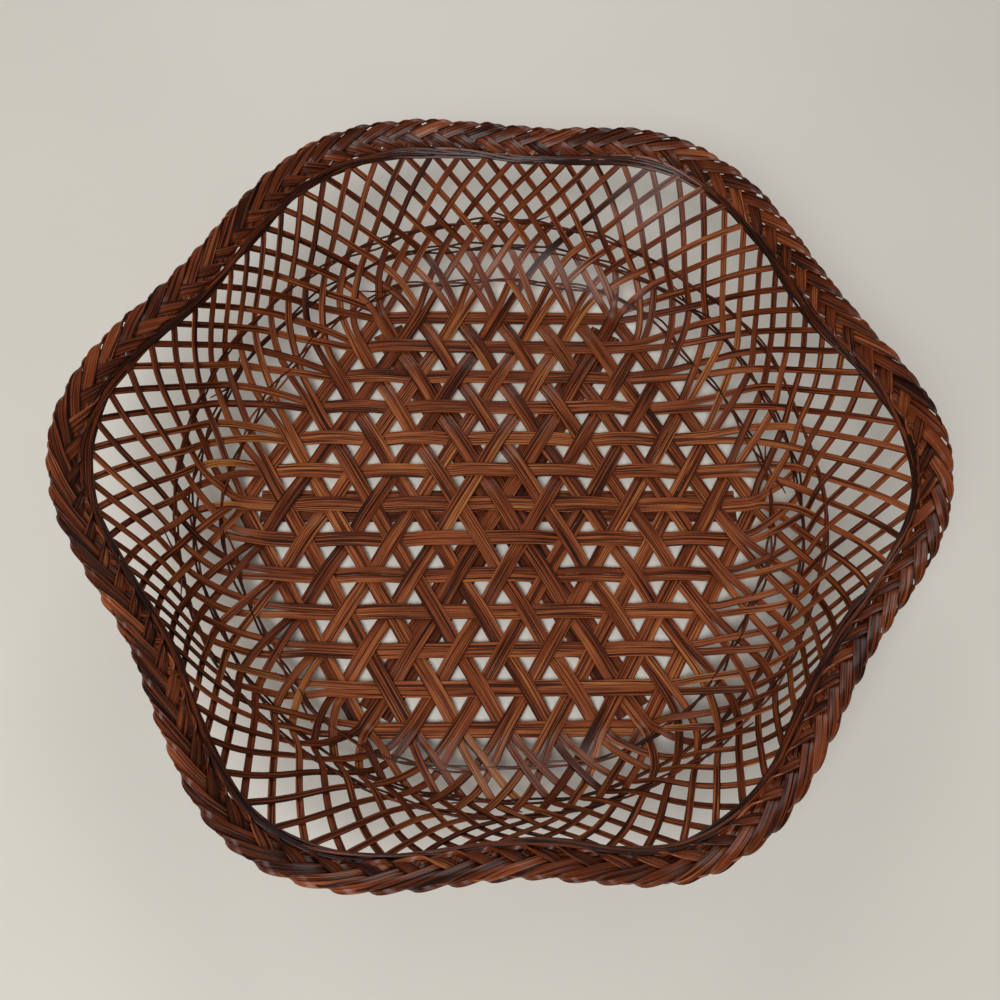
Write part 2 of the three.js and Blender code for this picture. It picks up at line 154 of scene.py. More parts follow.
# The strands of a bundle inside the rim, twisted in the same way, at two places across the band
BUNDLE_STRANDS = 5
BUNDLE_PLACES = [-8.1, -6.6]
BUNDLE_STEPS = 400
BUNDLE_LENGTH = 368
BUNDLE_START = 50
BUNDLE_STRAND_START = 77
BUNDLE_STRAND_PHASE = 1.6
BUNDLE_TWISTS = 9
BUNDLE_TWIST_REACH = 0.7
BUNDLE_STEP_UP = 0.5
BUNDLE_FLATNESS = 0.7
STRAND_EDGE = 0.3
STRAND_TAPER = 0.5

# The plait of the rim: each strip runs slowly in and quickly out, folds at both edges of the band
# and dives under the other strips at a place across it, as a share of its reach
PLAIT_STRIPS = 5
PLAIT_SOLIDS = 3
PLAIT_TURNS = 17
PLAIT_STEPS = 40
PLAIT_OVERLAP = 5
PLAIT_STRIP_START = 0.23
PLAIT_DRIFT_RATE = 90
PLAIT_DRIFT = 0.7
PLAIT_GROOVE = 0.6
PLAIT_MIDDLE = 0.25
PLAIT_LIFT = 0.75
PLAIT_INWARD_SHARE = 0.6
PLAIT_DIVE = -0.1
PLAIT_DIVE_SLOPE = 7.0
PLAIT_FOLD = 2.8
PLAIT_CORNER = 0.86
PLAIT_PINCH = 0.27
PLAIT_TILT = 0.13

# Swings of a splint between the inside and the outside of the wall, by count of crossings
FIRST_SWINGS = [(1, 1), (2, 1), (2.9, -1), (4.42, 1), (6.57, -1)]
SECOND_SWINGS = [(0.4, 1), (2.7, -1), (4.42, 1), (6.57, -1)]
CORNER_SWINGS = [(1.5, -1), (2.85, -1), (4.42, 1), (6.57, -1)]
TOP_SWING = -0.6

# A strip: cuts that form the groove along its middle, as shares of its width, steps over which
# its ends taper, and the angle from which an edge looks sharp
GROOVE_CUTS = (-0.04, 0.0, 0.04)
TAPER_STEPS = 4
SHARP_ANGLE = 30

# First seeds of the groups of strips
WEAVER_SEED = 50
SLAT_SEED = 200
HOOP_SEED = 300
PLAIT_SEED = 400
BUNDLE_SEED = 500

# Floor, light and camera. The lamps have a name, a place and a size in metres, and a power.
FLOOR_GAP = 0.05
FLOOR_RADIUS = 4
SKY_COLOUR = 0xE8E6E2
SKY_STRENGTH = 0.22
LAMPS = (("window", (-0.45, -0.9, 1.5), 1.0, 24), ("back window", (0.0, 1.7, 1.1), 1.0, 12))
CAMERA_PITCH = 66.23
CAMERA_YAW = 6.66
CAMERA_ROLL = 6.14
CAMERA_DISTANCE = 426.8
CAMERA_TARGET = (-0.38, 2.27)
SENSOR_WIDTH = 36
LENS_SHARE = 0.963

# The centre of the base in the frame, from the slat that crosses it
SLAT_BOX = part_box("base_slat_east_2")
CENTRE = Vector(((SLAT_BOX[0].x + SLAT_BOX[1].x) / 2,
                 (SLAT_BOX[0].y + SLAT_BOX[1].y) / 2, 0)) / MM


def linear(colour):
    """The linear colour of an sRGB hex value."""
    channels = [(colour >> shift & 255) / 255 for shift in (16, 8, 0)]
    return [c / 12.92 if c <= 0.04045 else ((c + 0.055) / 1.055) ** 2.4 for c in channels]


class BasketSizes(bpy.types.PropertyGroup):
    """Sizes of the splints, strands and strips."""
    splint_width: bpy.props.FloatProperty(
        name="Splint width", description="Width of a wall or base splint",
        default=3.3 * MM, unit="LENGTH")
    splint_thickness: bpy.props.FloatProperty(
        name="Splint thickness", description="Thickness of a wall or base splint",
        default=0.6 * MM, unit="LENGTH")
    splint_swing: bpy.props.FloatProperty(
        name="Splint swing", description="How far a splint passes over or under another",
        default=0.65 * MM, unit="LENGTH")
    slat_width: bpy.props.FloatProperty(
        name="Slat width", description="Width of a slat under the base",
        default=4.8 * MM, unit="LENGTH")
    slat_thickness: bpy.props.FloatProperty(
        name="Slat thickness", description="Thickness of a slat under the base",
        default=0.6 * MM, unit="LENGTH")
    hoop_strand: bpy.props.FloatProperty(
        name="Hoop strand", description="Diameter of a strand of a hoop",
        default=0.95 * MM, unit="LENGTH")
    plait_strip: bpy.props.FloatProperty(
        name="Plait strip", description="Width of a strip of the rim plait",
        default=4.9 * MM, unit="LENGTH")
    plait_thickness: bpy.props.FloatProperty(
        name="Plait thickness", description="Thickness of a strip of the rim plait",
        default=0.65 * MM, unit="LENGTH")
    plait_reach: bpy.props.FloatProperty(
        name="Plait reach", description="Half the width that the strips' middle lines cover",
        default=5.6 * MM, unit="LENGTH")
    bundle_strand: bpy.props.FloatProperty(
        name="Bundle strand", description="Diameter of a strand inside the rim",
        default=1.1 * MM, unit="LENGTH")


class BasketColours(bpy.types.PropertyGroup):
    """Colours of the smoked bamboo, the floor and the light."""
    shade: bpy.props.FloatVectorProperty(
        name="Shade", description="Darkest grain",
        default=linear(0x220A03), subtype="COLOR", size=3)
    mahogany: bpy.props.FloatVectorProperty(
        name="Mahogany", description="Main colour of the splints",
        default=linear(0x703215), subtype="COLOR", size=3)
    chestnut: bpy.props.FloatVectorProperty(
        name="Chestnut", description="Lighter grain",
        default=linear(0x96522D), subtype="COLOR", size=3)
    amber: bpy.props.FloatVectorProperty(
        name="Amber", description="Lightest, least smoked grain",
        default=linear(0xB27840), subtype="COLOR", size=3)
    floor: bpy.props.FloatVectorProperty(
        name="Floor", description="Plain pale floor",
        default=linear(0xDCD8CE), subtype="COLOR", size=3)


# ---- Courses on the base and the wall ----

def mix(a, b, share):
    """The value a share of the way from a to b."""
    return a + (b - a) * share


def ease(share):
    """A share from 0 to 1 with a soft start and end."""
    share = min(max(share, 0), 1)
    return share * share * (3 - 2 * share)


def between(values, station):
    """The value at a fractional station, straight between the listed ones."""
    index = min(max(math.floor(station), 0), len(values) - 2)
    return mix(values[index], values[index + 1], station - index)


def heading(angle):
    """The level unit vector at an angle in degrees."""
    return Vector((math.cos(math.radians(angle)), math.sin(math.radians(angle)), 0))


def signed(angle):
    """The same angle between -180 and 180 degrees."""
    return (angle + TURN / 2) % TURN - TURN / 2


def wander(seed, place, reach):
    """A slow hand-made drift of up to about reach, the same on every run."""
    return noise.noise(Vector((place, seed * 7.31, 2.7))) * reach


def rim_radius(angle):
    """Radius of the rim's middle line."""
    places = RIM_ANGLES + [RIM_ANGLES[0] + TURN]
    reach = RIM_REACH + [RIM_REACH[0]]
    turn = angle % TURN
    if turn >= places[-1]:
        turn -= TURN
    after = next(i for i, place in enumerate(places) if place > turn)
    share = (turn - places[after - 1]) / (places[after] - places[after - 1])
    return BASE_EDGE + mix(reach[after - 1], reach[after], (1 - math.cos(math.pi * share)) / 2)


def station_radius(angle, station):
    """Radius of the wall at a whole station."""
    if station == RIM_STATION:
        return rim_radius(angle) - RIM_FLARE[0]
    if station == 0:
        return BASE_EDGE / math.cos(math.radians(angle % SIDE_ANGLE - SIDE_ANGLE / 2))
    lobe = (1 + math.cos(math.radians(SIDES * angle))) / 2
    return BASE_EDGE + mix(WAIST_REACH[station - 1], LOBE_REACH[station - 1], lobe)


def along_stations(value_at, station):
    """A smooth curve through the values of the whole stations."""
    index = min(max(math.floor(station), 0), RIM_STATION - 1)
    start, end = value_at(index), value_at(index + 1)
    before = value_at(index - 1) if index > 0 else 2 * start - end
    after = value_at(index + 2) if index < RIM_STATION - 1 else 2 * end - start
    t = station - index
    return start + ((end - before) * t + (2 * before - 5 * start + 4 * end - after) * t ** 2
                    + (3 * start - before - 3 * end + after) * t ** 3) / 2


def wall_radius(angle, station):
    """Radius of the wall's middle surface."""
    return along_stations(lambda k: station_radius(angle, k), station)


def wall_point(angle, station):
    """A point of the wall's middle surface."""
    point = heading(angle) * wall_radius(angle, station)
    point.z = BASE_PLANE + WALL_HEIGHT * along_stations(lambda k: HEIGHT_SHARE[k], station)
    return point


def wall_rise(angle, station):
    """A short step straight up the wall."""
    return wall_point(angle, station + STATION_STEP) - wall_point(angle, station - STATION_STEP)


def wall_normal(angle, station):
    """The wall's unit normal, to the inside and up."""
    round_wall = wall_point(angle + ANGLE_STEP, station) - wall_point(angle - ANGLE_STEP, station)
    return wall_rise(angle, station).cross(round_wall).normalized()


def dome(point):
    """How far the weave rises over the middle, where the three bands of slats cross."""
    return DOME_RISE * ease((DOME_EDGE - math.hypot(point.x, point.y)) / (DOME_EDGE - DOME_FLAT))


def crossing_layer(direction, point):
    """Layer 0, 1 or 2 from below of a weaver at a crossing: the direction along the nearest side
    stays in the middle and the two others take turns."""
    reach = math.hypot(point.x, point.y)
    if reach < NET_SIDE / 2:
        return {0: 1, 60: 0, 120: 2}[direction]
    angle = (math.degrees(math.atan2(point.y, point.x)) + 0.01) % TURN
    side = angle // SIDE_ANGLE * SIDE_ANGLE + SIDE_ANGLE / 2
    from_side = (direction - side) % TURN % 180
    if abs(from_side - 90) < 1:
        return 1
    ring = round(reach * math.cos(math.radians(angle - side)) / ROW_SPACING)
    return 2 if (abs(from_side - 150) < 1) == (ring % 2 == 0) else 0


class WallSplint:
    """One splint of the wall: where it leaves the base and how it leans."""

    def __init__(self, direction, row, place):
        ahead, left = heading(direction), heading(direction + 90)
        end = ahead * (2 * ROWS_EACH_SIDE - abs(row)) / 2 * NET_SIDE + left * row * ROW_SPACING
        self.lean = -1 if row > 0 or (row == 0 and place < 0) else 1
        if row > 0:
            self.number = 2 * row - (1 if place < 0 else 0)
        elif row < 0:
            self.number = SPLINTS_PER_SIDE - 1 + 2 * row + (1 if place > 0 else 0)
        else:
            self.number = 0 if place < 0 else SPLINTS_PER_SIDE - 1
        self.side = direction - self.lean * SIDE_ANGLE / 2
        self.start = end + left * place * PAIR_OFFSET
        self.ahead = ahead
        corner = (self.side - SIDE_ANGLE / 2) / SIDE_ANGLE * SPLINTS_PER_SIDE
        self.index = round(corner + self.number) % SPLINTS_ROUND
        self.table = [self.exact_angle(k / TABLE_STEPS)
                      for k in range(RIM_STATION * TABLE_STEPS + 1)]

    def straight_angle(self, station):
        """Angle at which the straight course, seen from above, meets the wall."""
        near, far = 0.0, 4 * NET_SIDE
        for _ in range(WALL_HALVINGS):
            middle = (near + far) / 2
            point = self.start + self.ahead * middle
            angle = math.degrees(math.atan2(point.y, point.x))
            if math.hypot(point.x, point.y) > wall_radius(angle, station):
                far = middle
            else:
                near = middle
        return angle

    def even_angle(self, station):
        """Angle at a station with all splints of one lean evenly spaced."""
        even = self.side + SIDE_ANGLE * ((self.number + 0.5) / SPLINTS_PER_SIDE - 0.5)
        return even + self.lean * along_stations(lambda k: LATTICE_SHIFT[k], station)

    def exact_angle(self, station):
        """Angle at a station: straight on from the base at first, then a smooth curve to the
        even spacing."""
        even = self.even_angle(station)
        if station >= SPREAD_END:
            return even
        start = math.degrees(math.atan2(self.start.y, self.start.x))
        leave = signed(self.straight_angle(STRAIGHT_END) - start) / STRAIGHT_END * SPREAD_END
        end = self.even_angle(SPREAD_END)
        arrive = (end - self.even_angle(SPREAD_END - 0.1)) * 10 * SPREAD_END
        start = end + signed(start - end)
        t = station / SPREAD_END
        return mix(start, end, ease(t)) + leave * t * (1 - t) ** 2 - arrive * t ** 2 * (1 - t)

    def angle(self, station):
        """Angle at a station, read from the table."""
        return between(self.table, station * TABLE_STEPS)

    def crossing(self, count, splints):
        """Station where it crosses the splint that starts count places away."""
        first = self.index if self.lean > 0 else (self.index - count) % SPLINTS_ROUND
        rising, falling = splints[1][first], splints[-1][(first + count) % SPLINTS_ROUND]
        low, high = 0.0, float(RIM_STATION)
        for _ in range(CROSSING_HALVINGS):
            middle = (low + high) / 2
            if signed(falling.angle(middle) - rising.angle(middle)) > 0:
                low = middle
            else:
                high = middle
        return low

    def lifts(self, swing, splints):
        """(station, lift to the inside) at the turning points of its course over and under."""
        def at_count(count, side):
            """The station at a count of crossings, with the side that the splint is on."""
            whole = math.floor(count)
            start = self.crossing(whole, splints) if whole else LEAVE_STATION
            return mix(start, self.crossing(whole + 1, splints), count - whole), side

        from_corner = SPLINTS_PER_SIDE - 1 - self.number if self.lean > 0 else self.number
        if from_corner == 0:
            turns = [(HOOP_STATIONS[0], 1)] + [at_count(*s) for s in CORNER_SWINGS]
        elif from_corner == SPLINTS_PER_SIDE - 1:
            turns = [(HOOP_STATIONS[0], 1)] + [at_count(*s) for s in FIRST_SWINGS[1:]]
        else:
            turns = [at_count(*s) for s in (FIRST_SWINGS, SECOND_SWINGS)[from_corner % 2]]
        turns.append((RIM_STATION, TOP_SWING))
        return [(station, self.lean * side * swing) for station, side in turns]


def eased_value(knots, place):
    """The value at a place, with soft turns at the listed (place, value) knots."""
    if place <= knots[0][0]:
        return knots[0][1]
    for (start, before), (end, after) in zip(knots, knots[1:]):
        if place < end:
            return mix(before, after, ease((place - start) / (end - start)))
    return knots[-1][1]


def wall_course(splint, level, swing, splints, seed):
    """(centre, normal) of a splint from just past the base edge up into the rim."""
    knots = [(LEAVE_STATION, (level - 1) * LAYER_STEP)] + splint.lifts(swing, splints)
    course = []
    for station in WALL_STEPS:
        free = min(station, RIM_STATION - station) * WALL_DRIFT_GROWTH
        drift = wander(seed, station * WALL_DRIFT_RATE, WALL_DRIFT) * free / WALL_MEAN_RADIUS
        angle = splint.angle(station) + math.degrees(drift)
        normal = wall_normal(angle, station)
        course.append((wall_point(angle, station) + normal * eased_value(knots, station), normal))
    for across in END_PLACES:
        angle = splint.angle(RIM_STATION) + splint.lean * (across + END_ENTRY) * END_LEAN
        middle, outward, up = rim_frame(angle)
        depth = END_DEPTH + splint.lean * END_PARTING
        course.append((middle + outward * across - up * depth, up))
    return course


def base_course(direction, row, place, levels, seed):
    """(centre, normal) of a splint across the base."""
    ahead, left = heading(direction), heading(direction + 90)
    reach = (2 * ROWS_EACH_SIDE - abs(row)) / 2 * NET_SIDE
    steps = round(2 * reach / NET_SIDE) * BASE_STEPS
    course = []
    for step in range(steps + 1):
        along = -reach + 2 * reach * step / steps
        drift = wander(seed, along * BASE_DRIFT_RATE, BASE_DRIFT)
        point = ahead * along + left * (row * ROW_SPACING + place * PAIR_OFFSET + drift)
        point.z = BASE_PLANE + (eased_value(levels, along) - 1) * LAYER_STEP + dome(point)
        course.append((point, Vector((0, 0, 1))))
    return course


def weaver_levels(direction, row):
    """(place along, layer) on both sides of each crossing of a weaver."""
    ahead, left = heading(direction), heading(direction + 90)
    crossings = 2 * ROWS_EACH_SIDE + 1 - abs(row)
    levels = []
    for i in range(crossings):
        along = (i - (crossings - 1) / 2) * NET_SIDE
        layer = crossing_layer(direction, ahead * along + left * row * ROW_SPACING)
        levels += [(along - CROSSING_REACH, layer), (along + CROSSING_REACH, layer)]
    return levels


def rim_frame(angle):
    """Middle of the rim band, with its outward direction across it and its upper normal."""
    out = heading(angle)
    middle = out * rim_radius(angle)
    middle.z = BASE_PLANE + RIM_HEIGHT
    flare = math.hypot(*RIM_FLARE)
    across = (out * RIM_FLARE[0] + Vector((0, 0, RIM_FLARE[1]))) / flare
    normal = (Vector((0, 0, RIM_FLARE[0])) - out * RIM_FLARE[1]) / flare
    return middle, across, normal


# ---- Strips and pieces ----

def softened(course, passes):
    """The course with its corners eased: each inner point moves towards its neighbours' mean."""
    for _ in range(passes):
        inner = [tuple((a + b * 2 + c) / 4 for a, b, c in zip(*three))
                 for three in zip(course, course[1:], course[2:])]
        course = [course[0]] + inner + [course[-1]]
    return course


def bent_strip(course, width, thickness, seed, groove=0.0, edge=0.2, taper=0.0,
               narrow=None, painted_shade=None):
    """A straight strip, its long edges bevelled, bent along a course of (centre, normal).
    At step i of the course it has the share narrow(i) of its full width, and the shade function,
    called at i, tells how much painted shade darkens it there. groove is the depth of the furrow
    along its middle, edge the bevel and taper what its ends lose, all as shares. It carries
    lengthwise, crosswise and strand coordinates for the grain, and the amount of painted shade."""
    bm = bmesh.new()
    bmesh.ops.create_cube(bm, size=1)
    bmesh.ops.translate(bm, verts=bm.verts, vec=(0.5, 0, 0))
    bmesh.ops.scale(bm, verts=bm.verts, vec=(1, width, thickness))
    long_edges = [e for e in bm.edges if abs(e.verts[0].co.x - e.verts[1].co.x) > 0.5]
    bmesh.ops.bevel(bm, geom=long_edges, offset=edge * thickness, segments=1 if groove == 0 else 2,
                    profile=0.5, affect="EDGES", material=-1)
    if groove:
        for cut in GROOVE_CUTS:
            bmesh.ops.bisect_plane(bm, geom=bm.verts[:] + bm.edges[:] + bm.faces[:],
                                   plane_co=(0, cut * width, 0), plane_no=(0, 1, 0))
        for vert in bm.verts:
            if abs(vert.co.y) < 0.001 * width:
                vert.co.z *= 1 - groove
    long_edges = [e for e in bm.edges if abs(e.verts[0].co.x - e.verts[1].co.x) > 0.5]
    bmesh.ops.subdivide_edges(bm, edges=long_edges, cuts=len(course) - 2, use_grid_fill=True)

    centres = [centre for centre, _ in course]
    ahead = [(b - a).normalized() for a, b in zip(centres, centres[1:])]
    tangents = [ahead[0]] + [(a + b).normalized() for a, b in zip(ahead, ahead[1:])] + [ahead[-1]]
    travelled = [0.0]
    for a, b in zip(centres, centres[1:]):
        travelled.append(travelled[-1] + (b - a).length)
    grain = bm.verts.layers.float_vector.new("course")
    # Painted shade: how much darker each step is drawn, none where no shade function is given
    painted_shade_amount = bm.verts.layers.float.new("painted_shade")
    last = len(course) - 1
    for vert in bm.verts:
        i = round(vert.co.x * last)
        side = course[i][1].cross(tangents[i]).normalized()
        normal = tangents[i].cross(side)
        shrink = 1 - taper * (1 - min(i, last - i, TAPER_STEPS) / TAPER_STEPS)
        sideways = vert.co.y * (narrow(i) if narrow else 1)
        vert[grain] = (travelled[i] * MM, sideways * MM, seed)
        vert[painted_shade_amount] = painted_shade(i) if painted_shade else 0
        vert.co = centres[i] + (side * sideways + normal * vert.co.z) * shrink
    bmesh.ops.recalc_face_normals(bm, faces=bm.faces)
    for face in bm.faces:
        face.smooth = True
    for line in bm.edges:
        if line.is_manifold and line.calc_face_angle() > math.radians(SHARP_ANGLE):
            line.smooth = False
    bmesh.ops.translate(bm, verts=bm.verts, vec=CENTRE)
    bmesh.ops.scale(bm, verts=bm.verts, vec=(MM, MM, MM))
    return bm


def add_piece(name, strips, material, slot, *nodes):
    """One finished piece of the basket out of its strips, standing for its solids."""
    whole = bmesh.new()
    for bm in strips:
        part = bpy.data.meshes.new("strip")
        bm.to_mesh(part)
        bm.free()
        whole.from_mesh(part)
        bpy.data.meshes.remove(part)
    mesh = bpy.data.meshes.new(name)
    whole.to_mesh(mesh)
    whole.free()
    mesh.materials.append(material)
    piece = bpy.data.objects.new(name, mesh)
    bpy.context.scene.collection.objects.link(piece)
    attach(piece, "root")
    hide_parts(*nodes)


def hand(seed):
    """A number from 0 to 1 for a strand, the same on every run."""
    return random.Random(seed).random()


# ---- Materials ----

def add_node(tree, kind, settings=None, **inputs):
    """Adds a node, sets its properties, and sets or links its inputs by name or number."""
    made = tree.nodes.new(kind)
    for key, value in (settings or {}).items():
        setattr(made, key, value)
    for key, value in inputs.items():
        socket = made.inputs[int(key[1:]) if key[1:].isdigit() else key.replace("_", " ")]
        if isinstance(value, bpy.types.NodeSocket):
            tree.links.new(value, socket)
        else:
            socket.default_value = value
    return made


def colour_ramp(tree, factor, stops):
    """A colour ramp through (position, colour) stops."""
    ramp = add_node(tree, "ShaderNodeValToRGB", Fac=factor)
    elements = ramp.color_ramp.elements
    while len(elements) < len(stops):
        elements.new(0.5)
    for element, (position, colour) in zip(elements, stops):
        element.position = position
        element.color = (*colour, 1)
    return ramp.outputs["Color"]


def smoked_bamboo(name, tone, spread, roughness, coat, fibre=0.45):
    """Bamboo smoked and lacquered: a dark mahogany skin with fine lengthwise fibres, a few darker
    furrows, paler streaks where the finish has worn, a soft gloss that runs along the splint, and
    painted shade that darkens a strip where its shade attribute asks for it. tone moves it from
    dark to light, spread is how much strands differ, coat is the weight of the clear coat, and
    fibre is the width of a fibre in millimetres."""
    colours = bpy.context.scene.basket_colours
    material = bpy.data.materials.new(name)
    material.use_nodes = True
    tree = material.node_tree
    shader = tree.nodes["Principled BSDF"]
    course = add_node(tree, "ShaderNodeAttribute", {"attribute_name": "course"}).outputs["Vector"]

    def grain(length, width, strand, detail, rough=0.6):
        """Noise drawn out along the strip: feature length and width in millimetres."""
        scaled = add_node(tree, "ShaderNodeVectorMath", {"operation": "MULTIPLY"},
                          _0=course, _1=(1 / (length * MM), 1 / (width * MM), strand))
        return add_node(tree, "ShaderNodeTexNoise", Vector=scaled.outputs["Vector"], Scale=1.0,
                        Detail=detail, Roughness=rough).outputs["Fac"]

    def sums(operation, a, b):
        """One step of arithmetic."""
        step = add_node(tree, "ShaderNodeMath", {"operation": operation}, _0=a, _1=b)
        return step.outputs["Value"]

    def clamped(value, low, high):
        """The value's range from low to high, spread softly from 0 to 1."""
        spread_out = add_node(tree, "ShaderNodeMapRange", {"interpolation_type": "SMOOTHSTEP"},
                              Value=value, From_Min=low, From_Max=high, To_Min=0.0, To_Max=1.0)
        return spread_out.outputs["Result"]

    strand = add_node(tree, "ShaderNodeSeparateXYZ", Vector=course).outputs["Z"]
    fibres = grain(22, fibre, 31.7, 4)
    fine = grain(7, fibre / 3, 57.1, 3)
    patches = grain(46, 40, 13.9, 3)
    furrows = clamped(grain(60, fibre * 1.2, 83.3, 1), 0.41, 0.47)
    hairlines = clamped(grain(45, fibre * 0.5, 61.9, 1), 0.39, 0.48)
    level = sums("ADD", sums("MULTIPLY", fibres, 0.55), sums("MULTIPLY", patches, 0.55))
    level = sums("ADD", level, sums("MULTIPLY", strand, spread))
    level = sums("ADD", level, tone - 0.55 - spread / 2)
    # Painted shade: the splints are drawn a little darker where the strip asks for it, up the wall
    # towards the rim
    painted_shade_amount = add_node(tree, "ShaderNodeAttribute", {"attribute_name": "painted_shade"}).outputs["Fac"]
    level = sums("SUBTRACT", level, sums("MULTIPLY", painted_shade_amount, 0.05))
    level = sums("MULTIPLY", level, sums("ADD", sums("MULTIPLY", furrows, 0.65), 0.35))
    level = sums("MULTIPLY", level, sums("ADD", sums("MULTIPLY", hairlines, 0.5), 0.58))
    skin = colour_ramp(tree, level, [(0.12, colours.shade), (0.42, colours.mahogany),
                                     (0.62, colours.chestnut), (0.86, colours.amber)])
    tree.links.new(skin, shader.inputs["Base Color"])

    dull = add_node(tree, "ShaderNodeMapRange", Value=fine, From_Min=0.3, From_Max=0.7,
                    To_Min=roughness - 0.07, To_Max=roughness + 0.1)
    tree.links.new(dull.outputs["Result"], shader.inputs["Roughness"])
    relief = sums("ADD", furrows, sums("MULTIPLY", fibres, 0.6))
    relief = sums("ADD", relief, sums("MULTIPLY", fine, 0.25))
    relief = sums("ADD", relief, sums("MULTIPLY", hairlines, 0.5))
    bump = add_node(tree, "ShaderNodeBump", Strength=0.7, Distance=0.18 * MM, Height=relief)
    tree.links.new(bump.outputs["Normal"], shader.inputs["Normal"])
    shader.inputs["IOR"].default_value = 1.5
    shader.inputs["Specular IOR Level"].default_value = 0.14
    shader.inputs["Coat Weight"].default_value = coat
    shader.inputs["Coat Roughness"].default_value = 0.22
    shader.inputs["Coat IOR"].default_value = 1.5
    return material


# ---- The pieces, one operator for each group ----

class BASKET_OT_weavers(bpy.types.Operator):
    """Weaves the base and the wall: 39 weavers, each a pair of splints that run up both walls"""
    bl_idname = "basket.weavers"
    bl_label = "Weavers"

    def execute(self, context):
        sizes = context.scene.basket_sizes
        material = smoked_bamboo("Smoked bamboo splint", tone=0.51, spread=0.24, roughness=0.42,
                                 coat=0.15, fibre=0.6)
        rows = range(-ROWS_EACH_SIDE, ROWS_EACH_SIDE + 1)
        ends = {(direction, row, place): WallSplint(direction, row, place)
                for direction in range(0, TURN, TURN // SIDES) for row in rows for place in (1, -1)}
        splints = {lean: {s.index: s for s in ends.values() if s.lean == lean} for lean in (1, -1)}
        swing = sizes.splint_swing / MM
        for name, direction in DIRECTIONS:
            for row in rows:
                levels = weaver_levels(direction, row)
                strips = []
                for place in (1, -1):
                    seed = direction + row * 2.3 + place * 0.7 + WEAVER_SEED
                    up = wall_course(ends[direction, row, place],
                                     levels[-1][1], swing, splints, seed)
                    back = wall_course(ends[direction + TURN // 2, -row, -place],
                                       levels[0][1], swing, splints, seed + 9)
                    across = base_course(direction, row, place, levels, seed)
                    course = back[::-1] + across[1:-1] + up
                    last = len(course) - 1

                    def narrow(i):
                        """Full width on the base, a little less on the wall."""
                        from_end = min(i, last - i)
                        return mix(WALL_WIDTH_SHARE, 1, ease((from_end - WIDEN_FROM) / WIDEN_STEPS))

                    def painted_shade(i):
                        """Painted shade: darker up the wall, towards the rim."""
                        return ease((DARKEN_FROM - min(i, last - i)) / DARKEN_STEPS)

                    width = sizes.splint_width / MM * (0.96 + 0.08 * hand(seed))
                    thickness = sizes.splint_thickness / MM
                    strips.append(bent_strip(softened(course, 2), width, thickness,
                                             hand(seed + 1), narrow=narrow, painted_shade=painted_shade))
                node = f"weaver_{name}_{row + ROWS_EACH_SIDE + 1:02d}"
                add_piece(f"{node}_splints", strips, material, "smoked_splint", node)
        return {"FINISHED"}


class BASKET_OT_slats(bpy.types.Operator):
    """Lays the nine slats that stiffen the base from corner to corner"""
    bl_idname = "basket.slats"
    bl_label = "Base slats"

    def execute(self, context):
        sizes = context.scene.basket_sizes
        material = smoked_bamboo("Smoked bamboo slat", tone=0.42, spread=0.16, roughness=0.36,
                                 coat=0.4, fibre=0.5)
        width, thickness = sizes.slat_width / MM, sizes.slat_thickness / MM
        for layer, (name, direction) in enumerate(DIRECTIONS):
            for i in range(SLATS_PER_BAND):
                offset = (i - 1) * SLAT_SPACING
                reach = SLAT_REACH - abs(offset)
                course = []
                for step in range(2 * SLAT_HALF_STEPS + 1):
                    along = reach * (step / SLAT_HALF_STEPS - 1)
                    up = ease((SLAT_CROSSING + SLAT_RAMP - abs(along)) / SLAT_RAMP)
                    point = heading(direction) * along + heading(direction + 90) * offset
                    point.z = thickness / 2 + layer * SLAT_STEP * up
                    course.append((point, Vector((0, 0, 1))))
                seed = layer * SLATS_PER_BAND + i + SLAT_SEED
                strip = bent_strip(course, width, thickness, hand(seed))
                node = f"base_slat_{name}_{i + 1}"
                add_piece(f"{node}_strip", [strip], material, "base_slat", node)
        return {"FINISHED"}


def strand_round(station, lift_at, rise_at, start, length, steps):
    """(centre, normal) of a fine strand round the wall, from start degrees over length degrees."""
    course = []
    for step in range(steps + 1):
        angle = start + length * step / steps
        normal = wall_normal(angle, station)
        up = wall_rise(angle, station).normalized()
        point = wall_point(angle, station) + normal * lift_at(angle) + up * rise_at(angle)
        course.append((point, normal))
    return course


class BASKET_OT_hoops(bpy.types.Operator):
    """Threads the three hoops, each of three fine loose strands, through the wall"""
    bl_idname = "basket.hoops"
    bl_label = "Wall hoops"

    def execute(self, context):
        size = context.scene.basket_sizes.hoop_strand / MM
        material = smoked_bamboo("Dark lacquered strand", tone=0.24, spread=0.25, roughness=0.38,
                                 coat=0.2)
        for number, (name, station) in enumerate(zip(("lower", "middle", "upper"), HOOP_STATIONS)):
            strips = []
            for strand in range(HOOP_STRANDS):
                phase = TURN / HOOP_STRANDS * strand
                seed = number * 5 + strand + HOOP_SEED
                start = HOOP_START * number + HOOP_STRAND_START * strand

                def lift_at(angle):
                    """How far the strand lies to the inside of the wall's middle surface."""
                    return HOOP_TWIST_LIFT * math.cos(math.radians(angle * HOOP_TWISTS + phase))

                def rise_at(angle):
                    """How far up the wall it lies from the hoop's station."""
                    together = wander(number + 40, angle * 0.05, 2.0)
                    twist = HOOP_TWIST_RISE * math.sin(math.radians(angle * HOOP_TWISTS + phase))
                    apart = twist + wander(seed, angle * 0.1, 2.4)
                    from_end = min(angle - start, start + HOOP_LENGTH - angle)
                    return together + apart + HOOP_END_RISE * max(0, 1 - from_end / HOOP_END_LENGTH)

                course = strand_round(station, lift_at, rise_at, start, HOOP_LENGTH, HOOP_STEPS)
                strips.append(bent_strip(course, size, size * HOOP_FLATNESS, hand(seed),
                                         edge=STRAND_EDGE, taper=STRAND_TAPER))
            node = f"wall_hoop_{name}"
            add_piece(f"{node}_strands", strips, material, "dark_binding", node)
        return {"FINISHED"}


